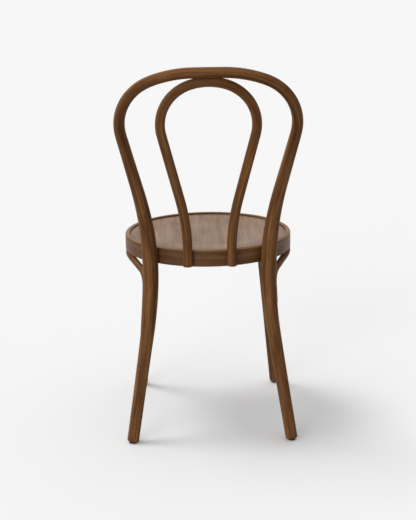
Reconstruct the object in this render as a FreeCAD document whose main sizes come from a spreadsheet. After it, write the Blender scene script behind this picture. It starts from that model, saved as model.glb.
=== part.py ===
# Bentwood bistro chair: a steam-bent hoop that runs on into the two rear legs, a smaller
# bent hoop inside it, a round bentwood seat ring with a moulded plywood panel, two turned
# front legs, a bow brace under each side of the seat, and the screws, bolts and glides.
# Millimetres, +Z up. The sitter faces -Y. The origin is on the floor, under the middle of
# the chair's outline seen from above.

import FreeCAD, Part
import math
import os
import Sketcher

Vector = FreeCAD.Vector
Rotation = FreeCAD.Rotation
Placement = FreeCAD.Placement

doc = FreeCAD.newDocument("bentwood_chair")

# Driving sizes, in millimetres and degrees. Each one becomes a cell of the sheet.
SIZES = {
    # seat
    "seat_height": 460.0,
    "seat_radius": 201.5,
    "ring_width": 30.0,
    "ring_depth": 40.0,
    "ring_round": 5.0,
    "rim_width": 12.0,
    "rim_stand": 4.5,
    "panel_thick": 8.0,
    "panel_gap": 0.3,
    "panel_dish": 5.0,
    "panel_flat": 24.0,
    "panel_slope": 62.0,
    # back frame: the hoop and the rear legs in one bent rod
    "back_height": 890.0,
    "crown_reach": 280.0,
    "rear_foot_reach": 228.6,
    "leg_notch": 2.0,
    "seat_bend_half": 90.0,
    "waist_half": 138.0,
    "waist_drop": 43.0,
    "waist_ease": 196.0,
    "leg_splay": 8.9,
    "hoop_half": 198.0,
    "shoulder_bend": 111.0,
    "crown_bend": 260.0,
    "rod_at_crown": 24.4,
    "rod_at_seat": 37.0,
    "rod_at_foot": 28.0,
    "taper_reach": 165.0,
    "crown_flat": 32.0,
    "station_pitch": 60.0,
    "station_turn": 14.0,
    "screw_span": 20.0,
    # inner loop of the back
    "loop_rod": 22.4,
    "loop_foot_half": 51.0,
    "loop_foot_ease": 349.0,
    "loop_half": 107.5,
    "loop_shoulder": 97.5,
    "loop_crown_bend": 130.0,
    "loop_planed": 2.2,
    "loop_foot_flat": 2.0,
    "loop_foot_rise": 3.0,
    "loop_knee_rise": 16.0,
    "loop_knee_half": 14.0,
    # front legs
    "front_top_inset": 16.0,
    "front_top_turn": 48.8,
    "front_splay": 35.4,
    "front_rake": 50.8,
    "front_top_rod": 35.0,
    "front_foot_rod": 25.0,
    "front_over": 12.0,
    "tenon_rod": 18.0,
    "tenon_length": 22.0,
    # bow braces
    "brace_rod": 16.0,
    "brace_inset": 0.5,
    "brace_end_drop": 102.0,
    "brace_knee_drop": 31.0,
    "brace_knee_bend": 38.0,
    "brace_bow_half": 35.0,
    "brace_bow_bend": 120.0,
    "brace_turn": 25.0,
    "brace_gap": 1.3,
    # glides under the feet
    "foot_round": 2.5,
    "glide_thick": 4.0,
    "glide_margin": 2.5,
    "nail_rod": 2.4,
    "nail_sunk": 0.5,
    "nail_length": 18.0,
    # bolts, inserts, washers and screws
    "bolt_rod": 6.0,
    "bolt_head_rod": 10.0,
    "bolt_head_length": 6.0,
    "bolt_length": 46.0,
    "insert_rod": 10.0,
    "insert_length": 18.0,
    "washer_rod": 18.0,
    "washer_thick": 1.6,
    "spot_depth": 0.6,
    "screw_rod": 4.0,
    "screw_head_rod": 8.0,
    "screw_head_length": 2.6,
    "loop_foot_screw": 42.0,
    "loop_top_screw": 32.0,
    "loop_top_screw_half": 16.0,
    "brace_ring_screw": 32.0,
    "brace_leg_screw": 30.0,
    "front_leg_screw": 28.0,
    # clearances
    "hole_play": 0.2,
    "fit_gap": 0.1,
}

sheet = doc.addObject("Spreadsheet::Sheet", "sizes")
for row, (name, value) in enumerate(SIZES.items(), start=1):
    sheet.set("A%d" % row, name)
    sheet.set("B%d" % row, str(value))
    sheet.setAlias("B%d" % row, name)
doc.recompute()


def size(name):
    """The value of one cell of the sheet."""
    return float(sheet.get(name))


def cell(expression):
    """An expression with each size's name turned into its cell."""
    words = []
    word = ""
    for letter in expression + " ":
        if letter.isalnum() or letter == "_":
            word += letter
            continue
        words.append("sizes." + word if word in SIZES else word)
        words.append(letter)
        word = ""
    return "".join(words).strip()


def worked_out(expression):
    """The number that an expression of sizes comes to now."""
    return float(sheet.evalExpression(cell(expression)))


# The seat's centre is this far in front of the middle of the outline.
SEAT_Y = "(seat_radius - crown_reach - rod_at_crown / 2) / 2"
RING_BOTTOM = "seat_height - ring_depth"
LEDGE = "seat_height - rim_stand - panel_thick"
RING_INSIDE = "seat_radius - ring_width"
seat_y = worked_out(SEAT_Y)
ring_bottom = worked_out(RING_BOTTOM)
ring_middle = worked_out("seat_height - ring_depth / 2")
ledge = worked_out(LEDGE)
ring_inside = worked_out(RING_INSIDE)
drill_level = (ring_bottom + ledge) / 2
seat_radius = size("seat_radius")


# Bows: the flat outline of a hoop in its own plane


def bow(half, level, foot_bend, wide, shoulder, crown, top, flat=0.0):
    """Points of half a bow, as (across, up) in the plane that it is bent in.

    It stands upright at a level. An arc turns it outwards, a straight neck follows, then the
    tight shoulder arc, which is widest at a given half width, the long crown arc and half of
    the crown's straight top. Each is tangent to the next: the shoulder touches the crown arc
    from inside, and the neck is the line that touches both the foot arc and the shoulder.
    """
    foot_centre = (half + foot_bend, level)
    crown_centre = (flat, top - crown)
    aside = wide - shoulder - flat
    rise = math.sqrt((crown - shoulder) ** 2 - aside ** 2)
    centre = (wide - shoulder, crown_centre[1] + rise)
    inwards = foot_centre[0] - centre[0]
    upwards = centre[1] - level
    apart = math.hypot(inwards, upwards)
    turn = math.atan2(upwards, inwards) - math.acos((foot_bend + shoulder) / apart)
    foot_arc = arc_points(foot_centre, foot_bend, math.pi, math.pi - turn)
    meets = math.atan2(rise, aside)
    shoulder_arc = arc_points(centre, shoulder, -turn, meets)
    crown_arc = arc_points(crown_centre, crown, meets, math.pi / 2)
    return foot_arc + shoulder_arc + crown_arc[1:]


def arc_points(centre, radius, start, end):
    """Points along an arc, both ends included, as close as its length and turn need."""
    by_length = radius * abs(end - start) / size("station_pitch")
    by_turn = math.degrees(abs(end - start)) / size("station_turn")
    steps = max(1, round(max(by_length, by_turn)))
    angles = [start + (end - start) * k / steps for k in range(steps + 1)]
    return [(centre[0] + radius * math.cos(a), centre[1] + radius * math.sin(a)) for a in angles]


def whole(half):
    """Half a rod's stations from its left foot to its top, then their mirror images."""
    straight_top = half[-1].x > size("fit_gap")
    rest = half[::-1] if straight_top else half[-2::-1]
    return half + [Vector(-p.x, p.y, p.z) for p in rest]


def tapered_rod(centres, rods, cylinders):
    """A rod through round sections, each with its own diameter, its two ends sawn level.

    The spans that start at the stations in cylinders are plain cylinders, because another
    piece is let in or screwed in there. The others are ruled from circle to circle.
    """
    last = len(centres) - 1
    sections = []
    for k, centre in enumerate(centres):
        along = centres[min(k + 1, last)] - centres[max(k - 1, 0)]
        if k in cylinders:
            along = centres[k + 1] - centre
        if k - 1 in cylinders:
            along = centre - centres[k - 1]
        if k in (0, last):
            along = Vector(0, 0, 1 if k == 0 else -1)
        turn = Rotation(Vector(0, 1, 0).cross(along), Vector(), along, "ZXY")
        circle = Part.makeCircle(rods[k] / 2)
        circle.Placement = Placement(centre, turn)
        sections.append(Part.Wire([circle]))
    spans = []
    start = 0
    for k in cylinders:
        spans.append(Part.makeLoft(sections[start:k + 1], True, True))
        along = centres[k + 1] - centres[k]
        spans.append(Part.makeCylinder(rods[k] / 2, along.Length, centres[k], along))
        start = k + 1
    spans.append(Part.makeLoft(sections[start:], True, True))
    return spans[0].multiFuse(spans[1:])


def even_rod(centres, rod):
    """A rod of one diameter along straight runs, mitred where they meet."""
    runs = [Part.LineSegment(a, b).toShape() for a, b in zip(centres, centres[1:])]
    circle = Part.makeCircle(rod / 2, centres[0], centres[1] - centres[0])
    mitred = 1
    return Part.Wire(runs).makePipeShell([Part.Wire([circle])], True, False, mitred)


# Back frame: the centre line of its hoop and legs


def frame_rod(z):
    """The rod's diameter: thickest where the seat is bolted on, down to its size at each end."""
    end, end_level = size("rod_at_foot"), 0.0
    if z > ring_bottom:
        end, end_level = size("rod_at_crown"), size("back_height") - size("rod_at_crown") / 2
    reach = size("taper_reach")
    least = 1 / (1 + ((end_level - ring_bottom) / reach) ** 2)
    swell = (1 / (1 + ((z - ring_bottom) / reach) ** 2) - least) / (1 - least)
    return end + (size("rod_at_seat") - end) * swell


waist_level = ring_middle - size("waist_drop")

# The long arcs at the waist and at the loop's feet have the radius that lets the rods reach
# their widest in the back's height above the seat: that height squared, over a length.
back_above = size("back_height") - size("seat_height")
waist_bend = back_above ** 2 / size("waist_ease")


def waist_x(up_from_waist):
    """Half the width of the waist, a long arc, at a distance above or below its middle."""
    bend = waist_bend
    return size("waist_half") + bend - math.sqrt(bend ** 2 - up_from_waist ** 2)


crown_level = size("back_height") - size("rod_at_crown") / 2
bolted_x = waist_x(ring_middle - waist_level)
bolted_distance = seat_radius + frame_rod(ring_middle) / 2 - size("leg_notch")
bolted_y = math.sqrt(bolted_distance ** 2 - bolted_x ** 2)
back_rise = crown_level - ring_middle
quarter = size("seat_bend_half") / 4
corner_y = bolted_y - quarter * (size("rear_foot_reach") / ring_middle + size("crown_reach") / back_rise)
corner_y /= 1 - quarter * (1 / ring_middle + 1 / back_rise)
leg_slope = (corner_y - size("rear_foot_reach")) / ring_middle
back_slope = (size("crown_reach") - corner_y) / back_rise
back_lean = math.atan(back_slope)


def frame_y(z):
    """The centre line from the side: leg line, bend eased into the seat, back line."""
    half = size("seat_bend_half")
    part = min(max((z - ring_middle + half) / (2 * half), 0.0), 1.0)
    turned = half * part ** 2 + max(z - ring_middle - half, 0.0)
    return seat_y + corner_y + leg_slope * (z - ring_middle) + (back_slope - leg_slope) * turned


splay = math.radians(size("leg_splay"))
leg_arc_foot = waist_level - waist_bend * math.sin(splay)


def leg_centre(z):
    """The centre of the left rear leg at a level: a line from the foot, then the waist arc."""
    arc_part = max(z, leg_arc_foot) - waist_level
    across = waist_x(arc_part) + max(leg_arc_foot - z, 0.0) * math.tan(splay)
    return Vector(across, frame_y(z), z)


def on_back(point):
    """A point (across, up) of the hoop's own plane, which leans back from the seat."""
    across, up = point
    z = ring_middle + (up * math.cos(back_lean) if up > 0 else up)
    return Vector(across, frame_y(z), z)


hoop_outline = bow(
    size("waist_half"), waist_level - ring_middle, waist_bend,
    size("hoop_half"), size("shoulder_bend"), size("crown_bend"),
    back_rise / math.cos(back_lean), size("crown_flat"))
screw_level = (ring_bottom - (size("brace_end_drop") + size("brace_knee_drop") + size("brace_knee_bend")) / 2)


def frame_blank():
    """The bent rod before the seat and the screws are let in."""
    foot = size("glide_thick")
    soft = size("foot_round")
    half_span = size("screw_span") / 2
    levels = [foot, foot + soft, leg_arc_foot]
    levels += stepped(leg_arc_foot, screw_level - half_span)
    levels += [screw_level + half_span]
    levels += stepped(screw_level + half_span, ring_bottom - soft)
    levels += [size("seat_height") + soft]
    half = [leg_centre(z) for z in levels]
    half += [on_back(point) for point in hoop_outline if point[1] > levels[-1] - ring_middle + soft]
    centres = whole(half)
    rods = [frame_rod(p.z) for p in centres]
    rods[0] -= soft
    rods[-1] -= soft
    last = len(centres) - 1
    screwed = levels.index(screw_level - half_span)
    bolted = len(levels) - 2
    crown = len(half) - 1
    cylinders = [screwed, bolted, crown, last - bolted - 1, last - screwed - 1]
    for k in cylinders:
        rods[k] = rods[k + 1] = (rods[k] + rods[k + 1]) / 2
    return tapered_rod(centres, rods, cylinders)


def stepped(low, high):
    """Levels above the low one, up to the high one, in at least two even steps."""
    steps = max(2, round((high - low) / size("station_pitch")))
    return [low + (high - low) * k / steps for k in range(1, steps + 1)]


# Inner loop: its foot stands against the ring, then it leans back to meet the crown


def loop_blank():
    """The smaller bent rod, with upright feet and its own gentler lean."""
    foot_x = size("loop_foot_half")
    rod = size("loop_rod")
    foot_y = math.sqrt((seat_radius + rod / 2 - size("loop_foot_flat")) ** 2 - foot_x ** 2)
    apart = (size("rod_at_crown") + rod) / 2 - size("loop_planed") + size("fit_gap")
    top_z = crown_level - apart * math.cos(back_lean)
    top_y = size("crown_reach") - apart * math.sin(back_lean)
    knee = size("seat_height") + size("loop_knee_rise")
    half_knee = size("loop_knee_half")
    slope = (top_y - foot_y) / (top_z - knee)
    lean = math.atan(slope)
    outline = bow(
        foot_x, 2 * size("fit_gap") - size("loop_knee_rise"), back_above ** 2 / size("loop_foot_ease"),
        size("loop_half"), size("loop_shoulder"),
        size("loop_crown_bend"), (top_z - knee) / math.cos(lean))
    half = [Vector(foot_x, seat_y + foot_y, ring_bottom + size("loop_foot_rise"))]
    for across, up in outline:
        z = knee + (up * math.cos(lean) if up > 0 else up)
        part = min(max((z - knee + half_knee) / (2 * half_knee), 0.0), 1.0)
        leaned = half_knee * part ** 2 + max(z - knee - half_knee, 0.0)
        half.append(Vector(across, seat_y + foot_y + slope * leaned, z))
    return even_rod(whole(half), rod), foot_y, Vector(0, seat_y + top_y, top_z)


# Drills: plain cylinders that the holes are cut with


def drill(label, rod, length, start, along):
    """A cylinder from a point along a direction, its sizes bound to the sheet."""
    tool = doc.addObject("Part::Cylinder", label)
    tool.setExpression("Radius", cell("(%s) / 2" % rod))
    tool.setExpression("Height", cell(length))
    tool.Placement = Placement(start, Rotation(Vector(0, 0, 1), along))
    return tool


def united(label, tools):
    """Several cutters as one."""
    joined = doc.addObject("Part::MultiFuse", label)
    joined.Shapes = tools
    return joined


def cut(label, base, tools):
    """A piece with its cutters taken out of it."""
    result = doc.addObject("Part::Cut", label)
    result.Base = base
    result.Tool = united(label + "_cutters", tools) if len(tools) > 1 else tools[0]
    result.Label = label
    return result


def mirror_piece(label, source):
    """The same piece on the other side of the chair."""
    result = doc.addObject("Part::Mirroring", label)
    result.Source = source
    result.Normal = Vector(1, 0, 0)
    result.Label = label
    return result


def group(label, pieces):
    """Identical fasteners as separate solids of one node."""
    result = doc.addObject("Part::Compound", label)
    result.Links = pieces
    result.Label = label
    return result


def shaped(label, shape):
    """A bent piece whose shape is worked out above from the sheet's sizes."""
    piece = doc.addObject("Part::Feature", label)
    piece.Shape = shape
    return piece


# Turned and pressed pieces: a profile in the XZ plane, turned about the Z axis


def turned_body(label, profile, start=Vector(), along=Vector(0, 0, 1)):
    """A body turned from a closed profile of (radius, height) corners."""
    body = doc.addObject("PartDesign::Body", label)
    sketch = body.newObject("Sketcher::SketchObject", label + "_profile")
    plane = [f for f in body.Origin.OriginFeatures if f.Role == "XZ_Plane"][0]
    sketch.AttachmentSupport = [(plane, "")]
    sketch.MapMode = "FlatFace"
    count = len(profile)
    corners = [Vector(worked_out(across), worked_out(up), 0) for across, up in profile]
    for k in range(count):
        sketch.addGeometry(Part.LineSegment(corners[k], corners[(k + 1) % count]), False)
    for k in range(count):
        sketch.addConstraint(Sketcher.Constraint("Coincident", k, 2, (k + 1) % count, 1))
    for k, (across, up) in enumerate(profile):
        for kind, number, text in (("DistanceX", corners[k].x, across), ("DistanceY", corners[k].y, up)):
            row = sketch.addConstraint(Sketcher.Constraint(kind, -1, 1, k, 1, number))
            sketch.setExpression("Constraints[%d]" % row, cell(text))
    turn = body.newObject("PartDesign::Revolution", label + "_turned")
    turn.Profile = sketch
    turn.ReferenceAxis = (sketch, ["V_Axis"])
    turn.Angle = 360.0
    body.Tip = turn
    body.Placement = Placement(start, Rotation(Vector(0, 0, 1), along))
    return body


def rounded(body, label, radius, places):
    """The body's circular edges at the given (radius, height) places, rounded over."""
    doc.recompute()
    names = []
    for number, edge in enumerate(body.Tip.Shape.Edges, start=1):
        box = edge.BoundBox
        for across, height in places:
            if abs(box.XMax - across) < 1e-3 and abs(box.ZMax - height) < 1e-3 and box.ZLength < 1e-3:
                names.append("Edge%d" % number)
    sharp = body.Tip
    fillet = body.newObject("PartDesign::Fillet", label)
    fillet.Base = (sharp, names)
    fillet.setExpression("Radius", cell(radius))
    body.Tip = fillet
    return fillet


seat_middle = Vector(0, seat_y, 0)


def from_seat(way, distance, level):
    """A point at a distance from the seat's centre, in one direction, at one level."""
    return seat_middle + way * distance + Vector(0, 0, level)


# Directions and places that several pieces share

frame_way = Vector(bolted_x, bolted_y, 0).normalize()
loop_shape, loop_foot_y, loop_top = loop_blank()
loop_way = Vector(size("loop_foot_half"), loop_foot_y, 0).normalize()
up_back = Vector(0, math.sin(back_lean), math.cos(back_lean))
across_back = Vector(0, math.cos(back_lean), -math.sin(back_lean))
front_turn = math.radians(size("front_top_turn"))
front_top_way = Vector(math.sin(front_turn), -math.cos(front_turn), 0)
front_top = from_seat(front_top_way, seat_radius - size("front_top_inset"), ring_bottom)
front_foot = front_top + Vector(size("front_splay"), -size("front_rake"), -ring_bottom)
front_way = (front_top - front_foot).normalize()


# Seat ring: bent round, with a rebate for the panel

seat_ring_blank = turned_body("seat_ring_blank", [
    (RING_INSIDE, RING_BOTTOM),
    ("seat_radius", RING_BOTTOM),
    ("seat_radius", "seat_height"),
    ("seat_radius - rim_width", "seat_height"),
    ("seat_radius - rim_width", LEDGE),
    (RING_INSIDE, LEDGE),
], seat_middle)
rounded(seat_ring_blank, "ring_top_round", "ring_round", [(seat_radius, size("seat_height"))])

# Seat panel: moulded plywood, flat at its edge and dished in its middle

PANEL_OUT = "seat_radius - rim_width - panel_gap"
PANEL_BEND = "seat_radius - rim_width - panel_gap - panel_flat"
PANEL_MIDDLE = "seat_radius - rim_width - panel_gap - panel_flat - panel_slope"
seat_panel = turned_body("seat_panel", [
    ("0", LEDGE + " - panel_dish"),
    (PANEL_MIDDLE, LEDGE + " - panel_dish"),
    (PANEL_BEND, LEDGE),
    (PANEL_OUT, LEDGE),
    (PANEL_OUT, LEDGE + " + panel_thick"),
    (PANEL_BEND, LEDGE + " + panel_thick"),
    (PANEL_MIDDLE, LEDGE + " + panel_thick - panel_dish"),
    ("0", LEDGE + " + panel_thick - panel_dish"),
], seat_middle)

# Back frame, let in against the ring, with a threaded insert behind each bolt

frame_bent = shaped("frame_bent", frame_blank())
ring_seat = drill("ring_seat", "2 * (seat_radius + fit_gap)", "ring_depth + 2 * loop_knee_rise",
                  seat_middle + Vector(0, 0, ring_bottom - size("loop_knee_rise")), Vector(0, 0, 1))


def both_sides(label, make):
    """A piece made on the left, and its mirror image on the right."""
    left = make(label + "_left")
    return [left, mirror_piece(label + "_right", left)]


def way_from(start, end):
    """The direction from one point to another."""
    return (end - start).normalize()


insert_start = from_seat(frame_way, seat_radius + size("fit_gap"), drill_level)
bolt_start = from_seat(frame_way, ring_inside + size("spot_depth") - size("washer_thick"), drill_level)
glide_top = size("glide_thick")
rear_foot = leg_centre(glide_top)
rear_foot.z = 0
front_sole = front_foot + front_way * (glide_top / front_way.z)
front_sole.z = 0
brace_level = ring_bottom - size("fit_gap") - size("brace_rod") / 2
brace_middle = Vector(seat_radius - size("brace_inset") - size("brace_rod") / 2, seat_y, brace_level)


def front_centre(z):
    """The centre of the left front leg at a level."""
    return front_foot + front_way * (z / front_way.z)


def front_rod(z):
    """The front leg's diameter at a level."""
    part = z / ring_bottom
    return size("front_foot_rod") + (size("front_top_rod") - size("front_foot_rod")) * part


def beside_leg(centre, rod, backwards, level):
    """Where the brace's centre runs past a leg, outside it and towards the other leg."""
    turn = math.radians(size("brace_turn"))
    away = rod / 2 + size("brace_rod") / 2 + size("brace_gap")
    return centre + Vector(math.sin(turn), backwards * math.cos(turn), 0) * away


def brace_corners():
    """The corners of a brace's path, from the rear leg to the front leg."""
    end = ring_bottom - size("brace_end_drop")
    knee = ring_bottom - size("brace_knee_drop")
    bow_half = Vector(0, size("brace_bow_half"), 0)
    return [
        beside_leg(leg_centre(end), frame_rod(end), -1, end),
        beside_leg(leg_centre(knee), frame_rod(knee), -1, knee),
        brace_middle + bow_half,
        brace_middle - bow_half,
        beside_leg(front_centre(knee), front_rod(knee), 1, knee),
        beside_leg(front_centre(end), front_rod(end), 1, end),
    ]


def bent_path(corners, bends):
    """Points of straight runs joined by tangent arcs, one bend radius for each inner corner."""
    points = [corners[0]]
    for before, corner, after, bend in zip(corners, corners[1:], corners[2:], bends):
        way_in = way_from(before, corner)
        way_out = way_from(corner, after)
        turn = way_in.getAngle(way_out)
        inwards = (way_out - way_in).normalize()
        tangent = (way_in + way_out).normalize()
        centre = corner + inwards * (bend / math.cos(turn / 2))
        for across, up in arc_points((0.0, 0.0), bend, -turn / 2, turn / 2):
            points.append(centre + tangent * up - inwards * across)
    points.append(corners[-1])
    return points


def brace_blank():
    """A brace before its holes: a thin rod bent in space."""
    knee = size("brace_knee_bend")
    bow_bend = size("brace_bow_bend")
    return even_rod(bent_path(brace_corners(), [knee, bow_bend, bow_bend, knee]), size("brace_rod"))


# Screws: where each one starts and which way it goes

brace_path = brace_corners()


def brace_at(first, second, level):
    """The brace's centre at a level on one of its upright ends."""
    part = (level - first.z) / (second.z - first.z)
    return first + (second - first) * part


def head_place(centre, along):
    """Where a screw's head lies flush in the brace that it goes through."""
    return centre - along * (size("brace_rod") / 2)


rear_brace_centre = brace_at(brace_path[0], brace_path[1], screw_level)
rear_brace_way = way_from(rear_brace_centre, leg_centre(screw_level))
front_brace_centre = brace_at(brace_path[-1], brace_path[-2], screw_level)
front_brace_way = way_from(front_brace_centre, front_centre(screw_level))
tenon_way = Vector(front_top.x, front_top.y - seat_y, 0).normalize()
loop_top_start = loop_top + Vector(size("loop_top_screw_half"), 0, 0)
loop_dip = size("loop_crown_bend") - math.sqrt(
    size("loop_crown_bend") ** 2 - size("loop_top_screw_half") ** 2)
loop_top_start -= up_back * (size("loop_rod") / 2 + loop_dip)

SCREWS = {
    "loop_foot_screw": (from_seat(loop_way, ring_inside, drill_level), loop_way),
    "loop_top_screw": (loop_top_start, up_back),
    "brace_ring_screw": (brace_middle - Vector(0, 0, size("brace_rod") / 2), Vector(0, 0, 1)),
    "brace_rear_screw": (head_place(rear_brace_centre, rear_brace_way), rear_brace_way),
    "brace_front_screw": (head_place(front_brace_centre, front_brace_way), front_brace_way),
    "front_leg_screw": (from_seat(tenon_way, ring_inside, drill_level), tenon_way),
}


def screw_length(name):
    """The name of the size that holds a screw's length."""
    return "brace_leg_screw" if name in ("brace_rear_screw", "brace_front_screw") else name


def screw(name, label):
    """A wood screw with a sunk round head, turned about its own axis."""
    start, along = SCREWS[name]
    length = screw_length(name)
    return turned_body(label, [
        ("0", "0"),
        ("screw_head_rod / 2", "0"),
        ("screw_head_rod / 2", "screw_head_length"),
        ("screw_rod / 2", "screw_head_length"),
        ("screw_rod / 2", length),
        ("0", length),
    ], start, along)


def screw_hole(name, label):
    """The hole that a screw goes through, with room for its head."""
    start, along = SCREWS[name]
    shank = drill(label + "_shank", "screw_rod + 2 * hole_play", screw_length(name) + " + hole_play",
                  start, along)
    head = drill(label + "_head", "screw_head_rod + 2 * hole_play", "2 * screw_head_length",
                 start - along * size("screw_head_length"), along)
    return united(label, [shank, head])


def mirrored_hole(name, label):
    """A screw's hole on both sides of the chair."""
    left = screw_hole(name, label)
    return [left, mirror_piece(label + "_mirrored", left)]


def nail_hole(label, place, along):
    """The hole in a foot that its glide's nail is driven into."""
    return drill(label, "nail_rod + 2 * hole_play", "nail_sunk + nail_length + hole_play", place, along)


UP = Vector(0, 0, 1)
insert_hole = drill("insert_hole", "insert_rod + 2 * hole_play", "insert_length + spot_depth",
                    insert_start - frame_way * size("spot_depth"), frame_way)
rear_nail_hole = nail_hole("rear_nail_hole", rear_foot, UP)
frame_cutters = [ring_seat, insert_hole, mirror_piece("insert_hole_right", insert_hole)]
frame_cutters += [rear_nail_hole, mirror_piece("rear_nail_hole_right", rear_nail_hole)]
frame_cutters += mirrored_hole("loop_top_screw", "frame_loop_hole")
frame_cutters += mirrored_hole("brace_rear_screw", "frame_brace_hole")
back_frame = cut("back_frame", frame_bent, frame_cutters)

# Inner loop: planed where it meets the crown and where it stands against the ring

loop_bent = shaped("loop_bent", loop_shape)
crown_top = Vector(0, seat_y + size("crown_reach"), crown_level)
crown_plane = doc.addObject("Part::Box", "crown_plane")
crown_plane.setExpression("Length", cell("4 * crown_flat"))
crown_plane.setExpression("Width", cell("4 * loop_rod"))
crown_plane.setExpression("Height", cell("2 * loop_rod"))
crown_plane.Placement = Placement(
    crown_top - up_back * (size("rod_at_crown") / 2 + size("fit_gap"))
    - across_back * (2 * size("loop_rod")) - Vector(2 * size("crown_flat"), 0, 0),
    Rotation(Vector(1, 0, 0), -math.degrees(back_lean)))
loop_planed = cut("loop_planed", loop_bent, [crown_plane, ring_seat])
inner_loop = cut("inner_loop", loop_planed, mirrored_hole(
    "loop_foot_screw", "loop_foot_hole") + mirrored_hole("loop_top_screw", "loop_top_hole"))

# Front legs: turned, with a round tenon that is glued and pinned into the ring

leg_blank = turned_body("front_leg_blank", [
    ("0", "-front_over"),
    ("front_foot_rod / 2 - foot_round", "-front_over"),
    ("front_foot_rod / 2 - foot_round", "glide_thick"),
    ("front_foot_rod / 2", "glide_thick + foot_round"),
    ("front_top_rod / 2", "seat_height - ring_depth"),
    ("front_top_rod / 2", "seat_height - ring_depth + front_over"),
    ("0", "seat_height - ring_depth + front_over"),
], front_foot, front_way)
slab = doc.addObject("Part::Box", "front_leg_slab")
slab.setExpression("Length", cell("2 * seat_radius"))
slab.setExpression("Width", cell("2 * seat_radius"))
slab.setExpression("Height", cell("seat_height - ring_depth - glide_thick"))
slab.Placement = Placement(Vector(0, seat_y - 2 * seat_radius, glide_top), Rotation())
leg_sawn = doc.addObject("Part::Common", "front_leg_sawn")
leg_sawn.Base = leg_blank
leg_sawn.Tool = slab
tenon = drill("front_tenon", "tenon_rod", "tenon_length + front_over",
              front_top - front_way * size("front_over"), front_way)
leg_solid = united("front_leg_solid", [leg_sawn, tenon])
front_nail_hole = nail_hole("front_nail_hole", front_sole, UP)
front_leg_left = cut("front_leg_left", leg_solid, [
    front_nail_hole, screw_hole("front_leg_screw", "tenon_hole"),
    screw_hole("brace_front_screw", "front_brace_hole")])
front_leg_right = mirror_piece("front_leg_right", front_leg_left)

# Bow braces under the sides of the seat

brace_bent = shaped("brace_bent", brace_blank())
side_brace_left = cut("side_brace_left", brace_bent, [
    screw_hole("brace_ring_screw", "brace_ring_hole"),
    screw_hole("brace_rear_screw", "brace_rear_hole"),
    screw_hole("brace_front_screw", "brace_front_hole")])
side_brace_right = mirror_piece("side_brace_right", side_brace_left)

# Seat ring with its holes

socket = drill("tenon_socket", "tenon_rod + 2 * hole_play", "tenon_length + front_over + hole_play",
               front_top - front_way * size("front_over"), front_way)
bolt_hole = drill("bolt_hole", "bolt_rod + 2 * hole_play", "2 * ring_width",
                  from_seat(frame_way, ring_inside - size("ring_width") / 2, drill_level), frame_way)
spot_face = drill("spot_face", "washer_rod + 2 * hole_play", "washer_thick",
                  bolt_start, frame_way)
ring_cutters = []
for tool in (socket, bolt_hole, spot_face):
    ring_cutters += [tool, mirror_piece(tool.Name + "_right", tool)]
for name in ("loop_foot_screw", "brace_ring_screw", "front_leg_screw"):
    ring_cutters += mirrored_hole(name, "ring_" + name + "_hole")
seat_ring = cut("seat_ring", seat_ring_blank, ring_cutters)

# Bolts, washers and threaded inserts


def frame_bolt(label):
    """A bolt with a round head, from inside the ring into the leg's insert."""
    return turned_body(label, [
        ("0", "-bolt_head_length"),
        ("bolt_head_rod / 2", "-bolt_head_length"),
        ("bolt_head_rod / 2", "0"),
        ("bolt_rod / 2", "0"),
        ("bolt_rod / 2", "bolt_length"),
        ("0", "bolt_length"),
    ], bolt_start, frame_way)


def frame_washer(label):
    """A flat washer on the ring's spot face."""
    return turned_body(label, [
        ("bolt_rod / 2 + hole_play", "0"),
        ("washer_rod / 2", "0"),
        ("washer_rod / 2", "washer_thick"),
        ("bolt_rod / 2 + hole_play", "washer_thick"),
    ], bolt_start, frame_way)


def frame_insert(label):
    """A threaded sleeve let into the leg."""
    return turned_body(label, [
        ("bolt_rod / 2 + hole_play / 2", "0"),
        ("insert_rod / 2", "0"),
        ("insert_rod / 2", "insert_length"),
        ("bolt_rod / 2 + hole_play / 2", "insert_length"),
    ], insert_start, frame_way)


frame_bolts = group("frame_bolts", both_sides("frame_bolt", frame_bolt))
frame_washers = group("frame_washers", both_sides("frame_washer", frame_washer))
frame_inserts = group("frame_inserts", both_sides("frame_insert", frame_insert))


def screws(name):
    """A screw on the left of the chair and its mirror image on the right."""
    return both_sides(name, lambda label: screw(name, label))


loop_foot_screws = group("loop_foot_screws", screws("loop_foot_screw"))
loop_top_screws = group("loop_top_screws", screws("loop_top_screw"))
brace_ring_screws = group("brace_ring_screws", screws("brace_ring_screw"))
brace_leg_screws = group("brace_leg_screws", screws("brace_rear_screw") + screws("brace_front_screw"))
front_leg_screws = group("front_leg_screws", screws("front_leg_screw"))

# Foot glides, each nailed under its foot


def glide(label, rod, place):
    """A flat disc with a hole for its nail."""
    return turned_body(label, [
        ("nail_rod / 2 + hole_play", "0"),
        (rod + " / 2 - foot_round - glide_margin", "0"),
        (rod + " / 2 - foot_round - glide_margin", "glide_thick"),
        ("nail_rod / 2 + hole_play", "glide_thick"),
    ], place)


def nail(label, place):
    """A headless nail, sunk a little in the glide."""
    return turned_body(label, [
        ("0", "nail_sunk"),
        ("nail_rod / 2", "nail_sunk"),
        ("nail_rod / 2", "nail_sunk + nail_length"),
        ("0", "nail_sunk + nail_length"),
    ], place)


rear_glides = both_sides("foot_glide_rear", lambda label: glide(label, "rod_at_foot", rear_foot))
front_glides = both_sides("foot_glide_front", lambda label: glide(label, "front_foot_rod", front_sole))
glide_nails = group(
    "glide_nails",
    both_sides("glide_nail_rear", lambda label: nail(label, rear_foot))
    + both_sides("glide_nail_front", lambda label: nail(label, front_sole)))

# Check every object, then write one file for each piece

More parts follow.
